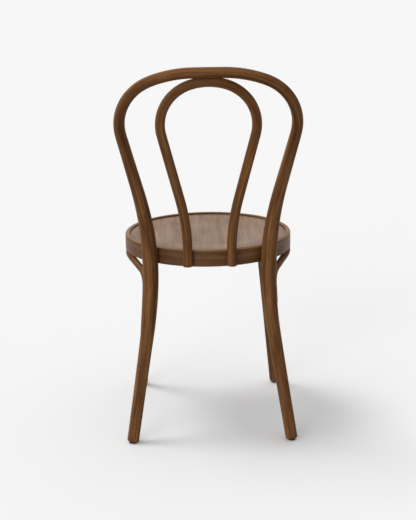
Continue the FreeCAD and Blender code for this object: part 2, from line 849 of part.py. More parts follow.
NODES = [
    back_frame, inner_loop, seat_ring, seat_panel, front_leg_left, front_leg_right,
    side_brace_left, side_brace_right, frame_bolts, frame_washers, frame_inserts,
    loop_foot_screws, loop_top_screws, brace_ring_screws, brace_leg_screws, front_leg_screws,
    glide_nails,
] + rear_glides + front_glides

doc.recompute()
for item in doc.Objects:
    if "Invalid" in item.State or "Error" in item.State:
        raise RuntimeError("%s failed: %s" % (item.Name, item.State))
for node in NODES:
    if node.Shape.isNull() or not node.Shape.isValid():
        raise RuntimeError("%s has no valid shape" % node.Label)
os.makedirs("parts", exist_ok=True)
for node in NODES:
    node.Shape.exportStep("parts/%s.step" % node.Label)
    print("%-20s %d solids %10.0f mm3" % (node.Label, len(node.Shape.Solids), node.Shape.Volume))
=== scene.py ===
# %% [markdown]
# # A bentwood bistro chair
# This chair is made from a few long sticks of beech that were steamed and bent over iron forms.
# The CAD frame holds the real sizes. This lesson lays a smooth surface over each stick, gives it
# a grain that follows the bend, and lights it like a small product photograph.

# %% Load the frame and keep its box
import math

import bpy
import numpy as np
from mathutils import Matrix, Vector


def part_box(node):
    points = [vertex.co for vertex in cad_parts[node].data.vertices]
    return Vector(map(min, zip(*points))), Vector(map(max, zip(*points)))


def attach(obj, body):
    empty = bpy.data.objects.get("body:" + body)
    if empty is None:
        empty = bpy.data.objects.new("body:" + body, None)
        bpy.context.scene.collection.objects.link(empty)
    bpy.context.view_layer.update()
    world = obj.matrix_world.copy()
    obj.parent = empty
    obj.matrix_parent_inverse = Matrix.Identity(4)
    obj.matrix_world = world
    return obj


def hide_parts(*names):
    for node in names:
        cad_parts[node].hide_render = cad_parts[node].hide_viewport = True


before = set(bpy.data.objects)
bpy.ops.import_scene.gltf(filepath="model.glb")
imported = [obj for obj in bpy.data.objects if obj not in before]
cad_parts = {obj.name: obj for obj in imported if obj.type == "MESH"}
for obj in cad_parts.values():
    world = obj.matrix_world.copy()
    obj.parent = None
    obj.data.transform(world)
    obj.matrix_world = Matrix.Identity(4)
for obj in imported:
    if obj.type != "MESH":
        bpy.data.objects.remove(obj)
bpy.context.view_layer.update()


# %% [markdown]
# ## Sizes
# Places come from the frame's own boxes wherever a box can say them: the seat ring gives the
# seat's centre, radius and height. The bends can't be read from a box, so their radii and
# angles are written here once, in metres and degrees, as the maker's bending forms have them.

# %% Places from the frame
MM = 0.001
ring_low, ring_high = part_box("seat_ring")
seat_y = (ring_low.y + ring_high.y) / 2
seat_radius = (ring_high.x - ring_low.x) / 2
seat_height = ring_high.z
ring_bottom = ring_low.z
ring_middle = (ring_low.z + ring_high.z) / 2
glide_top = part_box("foot_glide_rear_left")[1].z
back_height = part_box("back_frame")[1].z
print("seat radius", round(seat_radius, 4), "height", round(seat_height, 4))

# %% Sizes of the bends and the rods
SEAT = dict(ring_width=30 * MM, rim_width=12 * MM, rim_stand=4.5 * MM, top_round=5 * MM,
            edge_round=2 * MM, panel_thick=8 * MM, panel_gap=0.3 * MM, panel_dish=5 * MM,
            panel_flat=24 * MM, panel_slope=62 * MM, panel_round=1.5 * MM)
FRAME = dict(crown_reach=280 * MM, foot_reach=228.6 * MM, notch=2 * MM, seat_bend_half=90 * MM,
             waist_half=138 * MM, waist_drop=43 * MM, waist_ease=196 * MM, splay=8.9,
             wide=198 * MM, shoulder=111 * MM, crown=260 * MM, flat=32 * MM, at_crown=24.4 * MM,
             at_seat=37 * MM, at_foot=28 * MM, taper=165 * MM, soft=2.5 * MM)
LOOP = dict(rod=22.4 * MM, foot_half=51 * MM, foot_ease=349 * MM, wide=107.5 * MM,
            shoulder=97.5 * MM, crown=130 * MM, planed=2.2 * MM, foot_flat=2 * MM, foot_rise=3 * MM,
            knee_rise=16 * MM, knee_half=14 * MM)
FRONT = dict(inset=16 * MM, turn=48.8, splay=35.4 * MM, rake=50.8 * MM, top_rod=35 * MM,
             foot_rod=25 * MM, cut_reach=12 * MM)
BRACE = dict(rod=16 * MM, inset=0.5 * MM, end_drop=102 * MM, knee_drop=31 * MM, knee_bend=38 * MM,
             bow_half=35 * MM, bow_bend=120 * MM, turn=25.0, gap=1.3 * MM)
FIT = 0.1 * MM
waist_level = ring_middle - FRAME["waist_drop"]
waist_bend = (back_height - seat_height) ** 2 / FRAME["waist_ease"]
loop_foot_bend = (back_height - seat_height) ** 2 / LOOP["foot_ease"]

# %% [markdown]
# ## A rod along a path
# Every stick is the same idea: a round section carried along a centre line. The centre line is
# an array of points, the section turns with it, and the diameter changes with the distance.
# Doing it with arrays keeps the surface exact and lets each point remember where it lies in
# the straight stick before bending. That memory is what the wood grain is drawn with.


# %% Arcs and paths
def arc(centre, radius, start, end, step=math.radians(1.5)):
    """Points of an arc: the centre plus the radius times (cosine, sine) of an even run of angles."""
    count = max(2, int(math.ceil(abs(end - start) / step)) + 1)
    angle = np.linspace(start, end, count)
    return np.stack([centre[0] + radius * np.cos(angle), centre[1] + radius * np.sin(angle)], 1)


def bow_outline(half, level, foot_bend, wide, shoulder, crown, top, flat=0.0):
    """Half a bow in its own plane: foot arc, straight neck, shoulder arc that reaches the given
    width, crown arc and half of the crown's straight top, each tangent to the next.

    The neck is the line that touches both the foot's circle and the shoulder's circle. It leans
    from the line between their centres by the arc cosine of (sum of radii) / (distance apart).
    """
    aside = wide - shoulder - flat
    rise = math.sqrt((crown - shoulder) ** 2 - aside ** 2)
    centre = (wide - shoulder, top - crown + rise)
    across, up = half + foot_bend - centre[0], centre[1] - level
    turn = math.atan2(up, across) - math.acos((foot_bend + shoulder) / math.hypot(across, up))
    meets = math.atan2(rise, aside)
    foot = arc((half + foot_bend, level), foot_bend, math.pi, math.pi - turn, math.radians(0.3))
    shoulder_arc = arc(centre, shoulder, -turn, meets)
    crown_arc = arc((flat, top - crown), crown, meets, math.pi / 2, math.radians(0.5))
    top_middle = np.array([[0.0, top]]) if flat else np.empty((0, 2))
    return np.concatenate([foot, shoulder_arc, crown_arc[1:], top_middle])


def unit(vectors):
    """Each vector divided by its own length."""
    return vectors / np.linalg.norm(vectors, axis=-1, keepdims=True)


def both_halves(half):
    """A half line followed by its mirror image, from one foot over the top to the other foot."""
    return np.concatenate([half, half[-2::-1] * (-1.0, 1.0, 1.0)])


def evenly(path, pitch):
    """The path's points spaced evenly by distance, with the distance of each one."""
    steps = np.linalg.norm(np.diff(path, axis=0), axis=1)
    distance = np.concatenate([[0.0], np.cumsum(steps)])
    count = int(round(distance[-1] / pitch)) + 1
    wanted = np.linspace(0.0, distance[-1], count)
    spaced = np.stack([np.interp(wanted, distance, path[:, k]) for k in range(3)], 1)
    return spaced, wanted


def smoothed(path, passes=4):
    """The path with each inner point moved to the mean of itself and its two neighbours."""
    for _ in range(passes):
        path = np.concatenate([path[:1], (path[:-2] + path[1:-1] + path[2:]) / 3, path[-1:]])
    return path


# %% The section carried along the path
def rod_grid(path, distance, rod, aside, soft, rounds=56):
    """A grid of points: each row is a circle square to the path, its diameter rod, ends rounded.
    The rod is one number or one for each point of the path.

    The end's rounding takes (soft - sqrt(soft^2 - (soft - d)^2)) off the radius at a distance d
    from the end. Six rows lie close together in the rounding, and the evenly spaced ones start
    just after it. The second result is (distance, offset, offset) of each point in the stick.
    """
    near = np.concatenate([[0.0], soft * (1 - np.cos(np.linspace(0.2, math.pi / 2, 6)))])
    length = distance[-1]
    inner = distance[(distance > soft * 1.2) & (distance < length - soft * 1.2)]
    wanted = np.concatenate([near, inner, length - near[::-1]])
    centres = np.stack([np.interp(wanted, distance, path[:, k]) for k in range(3)], 1)
    half = np.interp(wanted, distance, np.broadcast_to(rod, distance.shape)) / 2
    to_end = np.clip(soft - np.minimum(wanted, length - wanted), 0.0, soft)
    half = half - (soft - np.sqrt(soft ** 2 - to_end ** 2))
    way = np.gradient(path, distance, axis=0)
    way = unit(np.stack([np.interp(wanted, distance, way[:, k]) for k in range(3)], 1))
    aside = np.asarray(aside, float)
    out = unit(aside - (way @ aside)[:, None] * way)
    over = np.cross(way, out)
    angle = np.linspace(0.0, 2 * math.pi, rounds, endpoint=False)
    across = half[:, None] * np.cos(angle)
    up = half[:, None] * np.sin(angle)
    grid = centres[:, None] + across[..., None] * out[:, None] + up[..., None] * over[:, None]
    along = np.broadcast_to(wanted[:, None], across.shape)
    return grid, np.stack([along, across, up], 2)


# %% From a grid of points to a mesh
def grid_faces(rows, columns, closed_rows, first=0):
    """Four-sided faces between neighbours of a grid whose columns close on themselves, and a flat
    face at each end unless its rows do too. First is the number of the grid's first point."""
    index = first + np.arange(rows * columns).reshape(rows, columns)
    right = np.roll(index, -1, axis=1)
    below = np.roll(index, -1, axis=0)
    below_right = np.roll(right, -1, axis=0)
    last = rows if closed_rows else rows - 1
    quads = np.stack([index[:last], right[:last], below_right[:last], below[:last]], 2)
    ends = [] if closed_rows else [index[0, ::-1].tolist(), index[-1].tolist()]
    return quads.reshape(-1, 4).tolist() + ends


def piece(name, grid, stick, closed_rows=False, shift=0.0, wear_and_sheen=None, wrap=0.0):
    """A mesh object from a grid, with the place of each point in its straight stick as grain.

    The shift moves the grain along, so that no two pieces are cut from the same stretch of wood.
    The grain is kept on the faces' corners. Where a closed stick meets its own start, the corners
    there get the whole length, wrap, added, so that the pattern ends sharply at the joint. The
    wear and sheen says for each point how far the colour is painted paler, from 0 to 1: partly
    stain rubbed off, partly painted highlight and sheen.
    """
    rows, columns = grid.shape[:2]
    faces = grid_faces(rows, columns, closed_rows)
    obj = mesh_object(name, grid, faces)
    mesh = obj.data
    corners = np.empty(len(mesh.loops), np.int32)
    mesh.loops.foreach_get("vertex_index", corners)
    placed = (stick.reshape(-1, 3) + (shift, 0.0, 0.0))[corners]
    if wrap:
        last_strip = np.repeat(np.arange(len(faces)) >= (rows - 1) * columns, 4)
        placed[:, 0] += wrap * (last_strip & (corners < columns))
    grain = mesh.attributes.new("grain", "FLOAT_VECTOR", "CORNER")
    grain.data.foreach_set("vector", placed.astype(np.float32).ravel())
    if wear_and_sheen is not None:
        wear_and_sheen_mark = mesh.attributes.new("wear_and_sheen", "FLOAT", "POINT")
        wear_and_sheen_mark.data.foreach_set("value", np.asarray(wear_and_sheen, np.float32).ravel())
    return obj


def mesh_object(name, points, faces):
    """A smooth mesh object in the scene, its faces turned outwards."""
    mesh = bpy.data.meshes.new(name)
    mesh.from_pydata(points.reshape(-1, 3).tolist(), [], faces)
    volume = outward(mesh)
    mesh.shade_smooth()
    obj = bpy.data.objects.new(name, mesh)
    bpy.context.scene.collection.objects.link(obj)
    print(name, "points", len(mesh.vertices), "cm3", round(volume * 1e6, 2))
    return obj


def dress(obj, node, material):
    """Puts a finished piece in the place of its node and gives it its material."""
    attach(obj, "root")
    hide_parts(node)
    obj.data.materials.append(material)


def outward(mesh):
    """Turns the faces outwards if the volume that they enclose comes out negative."""
    mesh.calc_loop_triangles()
    points = np.empty(len(mesh.vertices) * 3)
    mesh.vertices.foreach_get("co", points)
    points = points.reshape(-1, 3)
    corners = np.empty(len(mesh.loop_triangles) * 3, np.int32)
    mesh.loop_triangles.foreach_get("vertices", corners)
    a, b, c = points[corners.reshape(-1, 3)].transpose(1, 0, 2)
    volume = float(np.einsum("ij,ij->i", a, np.cross(b, c)).sum() / 6)
    if volume < 0:
        mesh.flip_normals()
    mesh.update()
    return abs(volume)


# %% [markdown]
# ## Colours and nodes
# Colours are written as the eye reads them from the wood, in sRGB hex. Blender's shaders work
# with linear light, so one function turns each colour over. One more function adds a node with
# its settings and links, so that a material reads from top to bottom like a recipe.


# %% Colour and node helpers
def linear(text):
    """An sRGB hex colour as linear light: the inverse of the screen's tone curve."""
    values = [int(text[k:k + 2], 16) / 255 for k in (1, 3, 5)]
    values = [v / 12.92 if v <= 0.04045 else ((v + 0.055) / 1.055) ** 2.4 for v in values]
    return (*values, 1.0)


def add(tree, kind, settings=(), inputs=(), stops=()):
    """Adds a node, sets its own settings, sets or links each named input, and fills a colour ramp
    with (position, hex colour) stops."""
    node = tree.nodes.new(kind)
    for name, value in dict(settings).items():
        setattr(node, name, value)
    for name, value in dict(inputs).items():
        socket = node.inputs[name]
        if isinstance(value, bpy.types.NodeSocket):
            tree.links.new(value, socket)
        else:
            socket.default_value = value
    for number, (position, colour) in enumerate(stops):
        if number >= len(node.color_ramp.elements):
            node.color_ramp.elements.new(position)
        node.color_ramp.elements[number].position = position
        node.color_ramp.elements[number].color = linear(colour)
    return node


def empty_material(name):
    """A material with nothing but its output and a Principled BSDF joined to it."""
    material = bpy.data.materials.new(name)
    material.use_nodes = True
    tree = material.node_tree
    tree.nodes.clear()
    shader = add(tree, "ShaderNodeBsdfPrincipled")
    add(tree, "ShaderNodeOutputMaterial", inputs={"Surface": shader.outputs["BSDF"]})
    return material, tree, shader


# %% [markdown]
# ## Steam-bent beech, walnut stain, satin lacquer
# Beech is close-grained: soft paler and darker streaks that run with the stick, short dark flecks
# (the rays, 1 to 3 mm long), and cloudy patches where the stain soaked in more, some redder and
# some more olive. A thin satin lacquer reflects a little over it. The pattern is drawn on the
# grain attribute, so it bends with the wood. The real streaks are 0.5 to 1 mm wide, finer than
# a pixel here, so they are drawn a few millimetres wide.


# %% Beech
# Pale tan mixed in where the stain is rubbed through and where highlight and sheen are painted.
WEAR_AND_SHEEN_BEECH = "#b9935f"


def wood(name, stops, streak_mm, length_mm, stain, roughness, lustre):
    """Stained wood whose streaks run along the stick that each piece was cut from.

    Every pattern is noise stretched along the stick: its width and length in millimetres, its
    detail, its roughness and how far it wavers. The stain's number says how patchy it took, and
    the lustre how strongly the lacquer reflects. Where the wear and sheen attribute is, a pale
    colour is mixed in: partly pale wood where the stain is rubbed through, partly painted
    highlight and sheen.
    """
    material, tree, shader = empty_material(name)
    place = add(tree, "ShaderNodeAttribute", {"attribute_name": "grain"}).outputs["Vector"]
    patterns = {
        "fine": (streak_mm, length_mm, 4.0, 0.6, 0.3),
        "broad": (streak_mm * 4, length_mm * 1.6, 2.0, 0.5, 0.4),
        "clouds": (streak_mm * 8, streak_mm * 34, 2.0, 0.5, 0.5),
        "hue": (streak_mm * 12, streak_mm * 60, 1.0, 0.5, 0.4),
        "rays": (0.9, 5.0, 1.0, 0.5, 0.0),
    }
    drawn = {}
    for pattern, (width, length, detail, rough, waver) in patterns.items():
        scale = (1 / (length * MM), 1 / (width * MM), 1 / (width * MM))
        mapped = add(tree, "ShaderNodeMapping", inputs={"Vector": place, "Scale": scale})
        noise = add(tree, "ShaderNodeTexNoise", inputs={
            "Vector": mapped.outputs["Vector"], "Scale": 1.0, "Detail": detail,
            "Roughness": rough, "Distortion": waver})
        drawn[pattern] = noise.outputs["Fac"]
    half_fine = add(tree, "ShaderNodeMath", {"operation": "MULTIPLY"}, {0: drawn["fine"], 1: 0.5})
    streaks = add(tree, "ShaderNodeMath", {"operation": "MULTIPLY_ADD"},
                  {0: drawn["broad"], 1: 0.5, 2: half_fine.outputs[0]})
    colour = add(tree, "ShaderNodeValToRGB", {}, {"Fac": streaks.outputs[0]}, stops).outputs["Color"]
    washes = [
        ("clouds", stain, [(0.34, "#b8a488"), (0.52, "#ffffff")]),
        ("hue", stain, [(0.36, "#fff6e2"), (0.50, "#ffffff"), (0.66, "#ffe2cb")]),
        ("rays", 0.35, [(0.30, "#6e5843"), (0.40, "#ffffff")]),
    ]
    for pattern, strength, tints in washes:
        tint = add(tree, "ShaderNodeValToRGB", {}, {"Fac": drawn[pattern]}, tints).outputs["Color"]
        mixed = add(tree, "ShaderNodeMix", {"data_type": "RGBA", "blend_type": "MULTIPLY"},
                    {0: strength, 6: colour, 7: tint})
        colour = mixed.outputs[2]
    # Painted highlight and sheen, with wear: the pale colour is mixed in by the wear and sheen
    # attribute, broken up by the fine streaks.
    wear_and_sheen_fac = add(tree, "ShaderNodeAttribute", {"attribute_name": "wear_and_sheen"}).outputs["Fac"]
    patchy = add(tree, "ShaderNodeMapRange", inputs={
        "Value": drawn["fine"], "From Min": 0.35, "From Max": 0.65, "To Min": 0.15, "To Max": 1.0})
    wear_and_sheen_mark = add(tree, "ShaderNodeMath", {"operation": "MULTIPLY"},
                 {0: wear_and_sheen_fac, 1: patchy.outputs["Result"]})
    mixed = add(tree, "ShaderNodeMix", {"data_type": "RGBA"},
                {0: wear_and_sheen_mark.outputs[0], 6: colour, 7: linear(WEAR_AND_SHEEN_BEECH)})
    tree.links.new(mixed.outputs[2], shader.inputs["Base Color"])
    low, high = roughness
    rough = add(tree, "ShaderNodeMapRange", inputs={
        "Value": drawn["clouds"], "From Min": 0.3, "From Max": 0.7, "To Min": high, "To Max": low})
    tree.links.new(rough.outputs["Result"], shader.inputs["Roughness"])
    bump = add(tree, "ShaderNodeBump", inputs={
        "Strength": 0.15, "Distance": 0.0003, "Height": drawn["fine"]})
    tree.links.new(bump.outputs["Normal"], shader.inputs["Normal"])
    shader.inputs["IOR"].default_value = 1.5
    shader.inputs["Specular IOR Level"].default_value = lustre
    return material


beech = wood("steam_bent_beech_walnut_stain",
             [(0.34, "#4b2e17"), (0.45, "#6b4729"), (0.55, "#7e5733"), (0.68, "#9c7449")],
             2.0, 170.0, 0.45, (0.45, 0.6), 0.1)

# %% [markdown]
# ## Back frame
# The hoop of the back and both rear legs are one stick, a little over two metres long,
# thickest where the seat is bolted on. The side view is a leg line, a gentle bend at the seat
# and a back line. The front view is two straight legs, a waist, a neck, tight shoulders and
# the flat crown. Both views are formulas, so the stick is one smooth surface from foot to foot.

# %% Back frame: centre line
crown_level = back_height - FRAME["at_crown"] / 2


def frame_rod(z):
    """The rod's diameter: a bell curve 1 / (1 + u^2) at the seat, down to its size at each end."""
    above = z > ring_bottom
    end = np.where(above, FRAME["at_crown"], FRAME["at_foot"])
    end_level = np.where(above, crown_level, 0.0)
    least = 1 / (1 + ((end_level - ring_bottom) / FRAME["taper"]) ** 2)
    swell = (1 / (1 + ((z - ring_bottom) / FRAME["taper"]) ** 2) - least) / (1 - least)
    return end + (FRAME["at_seat"] - end) * swell


def waist_x(up):
    """Half the waist's width: a long circle that is nearest to the middle at its own level."""
    return FRAME["waist_half"] + waist_bend - np.sqrt(waist_bend ** 2 - up ** 2)


# The stick is bolted against the ring. The leg line and the back line, seen from the side, would
# meet in a corner, which lies so that the bend between them runs through the bolted place.
bolted_x = float(waist_x(ring_middle - waist_level))
bolted_distance = seat_radius + float(frame_rod(np.array(ring_middle))) / 2 - FRAME["notch"]
bolted_y = math.sqrt(bolted_distance ** 2 - bolted_x ** 2)
back_rise = crown_level - ring_middle
quarter = FRAME["seat_bend_half"] / 4
corner_y = bolted_y - quarter * (FRAME["foot_reach"] / ring_middle + FRAME["crown_reach"] / back_rise)
corner_y /= 1 - quarter * (1 / ring_middle + 1 / back_rise)
leg_slope = (corner_y - FRAME["foot_reach"]) / ring_middle
back_slope = (FRAME["crown_reach"] - corner_y) / back_rise
back_lean = math.atan(back_slope)
up_back = np.array([0.0, math.sin(back_lean), math.cos(back_lean)])
across_back = np.array([0.0, math.cos(back_lean), -math.sin(back_lean)])


def frame_y(z):
    """The centre line from the side: a line, a bend whose slope changes evenly, a line."""
    half = FRAME["seat_bend_half"]
    part = np.clip((z - ring_middle + half) / (2 * half), 0.0, 1.0)
    turned = half * part ** 2 + np.maximum(z - ring_middle - half, 0.0)
    return seat_y + corner_y + leg_slope * (z - ring_middle) + (back_slope - leg_slope) * turned


splay = math.radians(FRAME["splay"])
leg_arc_foot = waist_level - waist_bend * math.sin(splay)


def leg_centre(z):
    """The left rear leg's centre at each level: a splayed line, then the waist's circle."""
    z = np.asarray(z, float)
    across = waist_x(np.maximum(z, leg_arc_foot) - waist_level)
    across = across + np.maximum(leg_arc_foot - z, 0.0) * math.tan(splay)
    return np.stack([across, frame_y(z), z], -1)


def frame_centre_line():
    """The whole stick's centre line, from the left foot over the crown to the right foot."""
    legs = leg_centre(np.arange(glide_top, ring_middle, 4 * MM))
    hoop = bow_outline(
        FRAME["waist_half"], waist_level - ring_middle, waist_bend, FRAME["wide"],
        FRAME["shoulder"], FRAME["crown"], back_rise / math.cos(back_lean), FRAME["flat"])
    hoop = hoop[hoop[:, 1] > 2 * MM]
    z = ring_middle + hoop[:, 1] * math.cos(back_lean)
    half = np.concatenate([legs, np.stack([hoop[:, 0], frame_y(z), z], 1)])
    path, _ = evenly(both_halves(half), 4 * MM)
    return evenly(smoothed(path), 5 * MM)


frame_path, frame_distance = frame_centre_line()
print("back frame stick", round(float(frame_distance[-1]), 3), "m long, leans",
      round(math.degrees(back_lean), 1), "degrees")


# %% Back frame: surface let in against the ring
def off_the_ring(grid):
    """Points inside the ring's outer wall are moved straight out to it, which planes the seat.

    Above and below the ring the wall fades out over a short way, like the run-out of a cut.
    """
    away = grid - (0.0, seat_y, 0.0)
    distance = np.hypot(away[..., 0], away[..., 1])
    wall = seat_radius + FIT
    runout = 5 * MM
    outside = np.maximum(ring_bottom - grid[..., 2], grid[..., 2] - seat_height) / runout
    share = np.clip(1.0 - outside, 0.0, 1.0)
    share = share * share * (3 - 2 * share)
    scale = 1 + share * (np.maximum(distance, wall) / distance - 1)
    return np.stack([away[..., 0] * scale, seat_y + away[..., 1] * scale, grid[..., 2]], -1)


frame_grid, frame_stick = rod_grid(
    frame_path, frame_distance, frame_rod(frame_path[:, 2]), across_back, FRAME["soft"])
back_frame = piece("back_frame_bent", off_the_ring(frame_grid), frame_stick)
dress(back_frame, "back_frame", beech)

# %% [markdown]
# ## Inner loop
# A thinner stick makes the loop inside the hoop. Its feet stand upright against the back of
# the ring, a short bend above the seat leans it back, and its crown is planed flat to lie
# against the straight top of the hoop. The planing is a push: points beyond the plane are
# brought back to it, as a plane iron would leave them.


# %% Inner loop: centre line
def loop_centre_line():
    """Upright feet, a soft knee just above the seat, then the bow in its own leaning plane."""
    rod = LOOP["rod"]
    foot_y = math.sqrt((seat_radius + rod / 2 - LOOP["foot_flat"]) ** 2 - LOOP["foot_half"] ** 2)
    apart = (FRAME["at_crown"] + rod) / 2 - LOOP["planed"] + FIT
    top_z = crown_level - apart * math.cos(back_lean)
    top_y = FRAME["crown_reach"] - apart * math.sin(back_lean)
    knee = seat_height + LOOP["knee_rise"]
    slope = (top_y - foot_y) / (top_z - knee)
    lean = math.atan(slope)
    outline = bow_outline(
        LOOP["foot_half"], 2 * FIT - LOOP["knee_rise"], loop_foot_bend, LOOP["wide"],
        LOOP["shoulder"], LOOP["crown"], (top_z - knee) / math.cos(lean))
    z = knee + np.where(outline[:, 1] > 0, outline[:, 1] * math.cos(lean), outline[:, 1])
    half_knee = LOOP["knee_half"]
    part = np.clip((z - knee + half_knee) / (2 * half_knee), 0.0, 1.0)
    leaned = half_knee * part ** 2 + np.maximum(z - knee - half_knee, 0.0)
    bow = np.stack([outline[:, 0], seat_y + foot_y + slope * leaned, z], 1)
    foot_levels = np.arange(ring_bottom + LOOP["foot_rise"], seat_height - 2 * MM, 4 * MM)
    foot = np.stack([np.full_like(foot_levels, LOOP["foot_half"]),
                     np.full_like(foot_levels, seat_y + foot_y), foot_levels], 1)
    path, _ = evenly(both_halves(np.concatenate([foot, bow])), 3 * MM)
    return evenly(smoothed(path), 4 * MM)


loop_path, loop_distance = loop_centre_line()
print("inner loop stick", round(float(loop_distance[-1]), 3), "m long")


# %% Inner loop: surface planed at the crown and at the feet
def under_the_crown(grid):
    """Points above a plane that touches the crown's underside are brought straight down to it."""
    crown_top = np.array([0.0, seat_y + FRAME["crown_reach"], crown_level])
    plane = crown_top - up_back * (FRAME["at_crown"] / 2 + FIT)
    above = np.maximum((grid - plane) @ up_back, 0.0)
    return grid - above[..., None] * up_back


loop_grid, loop_stick = rod_grid(loop_path, loop_distance, LOOP["rod"], across_back, 1.0 * MM)
loop_grid = under_the_crown(off_the_ring(loop_grid))
inner_loop = piece("inner_loop_bent", loop_grid, loop_stick, shift=3.7)
dress(inner_loop, "inner_loop", beech)

# %% [markdown]
# ## Seat ring and panel
# The ring is one more bent stick, closed on itself and rebated for the panel. Turned pieces
# are a closed profile carried round the seat's centre. The profile's corners are rounded with
# small arcs, because a sanded edge is where the lacquer catches the light. The ring's two ends
# meet in a slanted scarf joint at its side. Its grid is turned a little more the higher a point
# is, which leaves the shape as it is and makes the line where the grain ends a slant. The ring's
# upper edge and its rim are painted paler: partly wear rubbed by hands and clothes, partly a
# painted highlight on the rounded edge and a painted sheen on the flat rim.


# %% Profiles with rounded corners
def rounded_profile(corners, rounds, steps=6):
    """A closed outline whose corners are replaced by arcs: a quadratic curve from the point one
    radius before each corner to the point one radius after it, pulled not quite to the corner."""
    corners = np.asarray(corners, float)
    points = []
    runs = zip(np.roll(corners, 1, 0), corners, np.roll(corners, -1, 0), rounds)
    for before, corner, after, size in runs:
        if size == 0:
            points.append(corner[None])
            continue
        begin = corner + (before - corner) * size / np.linalg.norm(before - corner)
        end = corner + (after - corner) * size / np.linalg.norm(after - corner)
        t = np.linspace(0.0, 1.0, steps)[:, None]
        pull = 0.6 * corner + 0.2 * (begin + end)
        points.append((1 - t) ** 2 * begin + 2 * t * (1 - t) * pull + t ** 2 * end)
    return np.concatenate(points)


def finely(outline, pitch):
    """A closed outline with more points on its long sides, none further apart than the pitch."""
    after = np.roll(outline, -1, 0)
    counts = np.ceil(np.linalg.norm(after - outline, axis=1) / pitch).astype(int)
    parts = [a + (b - a) * np.arange(n)[:, None] / n for a, b, n in zip(outline, after, counts) if n]
    return np.concatenate(parts)


def turned(out, up, turns):
    """Points at a radius and a level, carried round the seat's upright axis by the turns."""
    out, up, turns = np.broadcast_arrays(out, up, turns)
    return np.stack([out * np.cos(turns), seat_y + out * np.sin(turns), up], 2)


# %% Seat ring
TURNS = 220
SCARF_SLANT = 0.3
SCARF_WIDTH = 0.5 * MM
SCARF_DEPTH = 0.3 * MM
# How much paler the upper edge and the rim are painted: partly wear, partly painted highlight on the
# edge and painted sheen on the rim.
EDGE_WEAR_AND_HIGHLIGHT = 0.8
RIM_WEAR_AND_SHEEN = 0.4
ring_inside = seat_radius - SEAT["ring_width"]
rim_inside = seat_radius - SEAT["rim_width"]
ledge = seat_height - SEAT["rim_stand"] - SEAT["panel_thick"]
edge_round = SEAT["edge_round"]
ring_profile = rounded_profile(
    [(ring_inside, ring_bottom), (seat_radius, ring_bottom), (seat_radius, seat_height),
     (rim_inside, seat_height), (rim_inside, ledge), (ring_inside, ledge)],
    [edge_round, edge_round, SEAT["top_round"], edge_round, 0, edge_round])
ring_profile = finely(ring_profile, 1.5 * MM)
ring_out, ring_up = ring_profile.T

# The first row is the scarf joint: it lies a little under the surface, as a fine groove.
scarf = SCARF_WIDTH / seat_radius
ring_turns = np.linspace(scarf, 2 * math.pi - scarf, TURNS)[1:]
ring_turns = np.concatenate([[0.0, scarf], ring_turns])[:, None]
ring_turns = ring_turns + SCARF_SLANT * ((ring_up - ring_bottom) / (seat_height - ring_bottom))
inwards = unit(ring_profile.mean(axis=0) - ring_profile)
groove = np.zeros(ring_turns.shape)
groove[0] = SCARF_DEPTH
ring_grid = turned(ring_out + groove * inwards[:, 0], ring_up + groove * inwards[:, 1], ring_turns)
ring_stick = np.stack([ring_turns * seat_radius,
                       np.broadcast_to(ring_out - seat_radius, ring_turns.shape),
                       np.broadcast_to(ring_up - ring_bottom, ring_turns.shape)], 2)

# The outer edge is painted paler most at 1.2 mm below the top and fades over 2.2 mm: partly
# wear, partly a painted highlight where the rounded edge catches the light. The flat rim is
# evenly paler: partly wear, partly painted sheen of the lacquer.
edge_wear_and_highlight = np.clip(1 - np.abs(ring_up - (seat_height - 1.2 * MM)) / (2.2 * MM), 0, 1)
edge_wear_and_highlight *= ring_out > seat_radius - 4 * MM
rim_wear_and_sheen = (ring_up > seat_height - 1.0 * MM) & (ring_out > rim_inside - 0.1 * MM)
ring_wear_and_sheen = np.broadcast_to(np.maximum(EDGE_WEAR_AND_HIGHLIGHT * edge_wear_and_highlight, RIM_WEAR_AND_SHEEN * rim_wear_and_sheen), ring_turns.shape)
seat_ring = piece("seat_ring_bent", ring_grid, ring_stick, closed_rows=True, shift=7.9,
                  wear_and_sheen=ring_wear_and_sheen, wrap=2 * math.pi * seat_radius)
# The ring's beech is a darker copy of the other beech: painted shade for the ring's face under the
# seat and for the rim's inner wall.
ring_beech = wood("steam_bent_beech_darker_painted_shade",
                  [(0.34, "#482d16"), (0.45, "#5f3f24"), (0.55, "#6d4a2b"), (0.68, "#84603a")],
                  2.4, 190.0, 0.45, (0.42, 0.52), 0.22)
dress(seat_ring, "seat_ring", ring_beech)


# %% Seat panel
def panel_drop(r):
    """How far the panel is dished at a radius: none at its edge, fully in the middle."""
    out = rim_inside - SEAT["panel_gap"] - SEAT["panel_flat"]
    part = np.clip((out - r) / SEAT["panel_slope"], 0.0, 1.0)
    return SEAT["panel_dish"] * part * part * (3 - 2 * part)


def panel_profile():
    """The panel's closed outline: underside from the middle out, rounded edge, top back in."""
    edge = rim_inside - SEAT["panel_gap"]
    soft = SEAT["panel_round"]
    thick = SEAT["panel_thick"]
    r = np.linspace(1 * MM, edge - soft, 60)
    turn = np.linspace(0.0, math.pi / 2, 6)[1:]
    low = np.stack([r, ledge - panel_drop(r)], 1)
    side_low = np.stack([edge - soft + soft * np.sin(turn), ledge + soft - soft * np.cos(turn)], 1)
    turn = turn - turn[0]
    side_high = np.stack([edge - soft + soft * np.cos(turn),
                          ledge + thick - soft + soft * np.sin(turn)], 1)
    high = np.stack([r[::-1], ledge + thick - panel_drop(r[::-1])], 1)
    return np.concatenate([low, side_low, side_high, high])


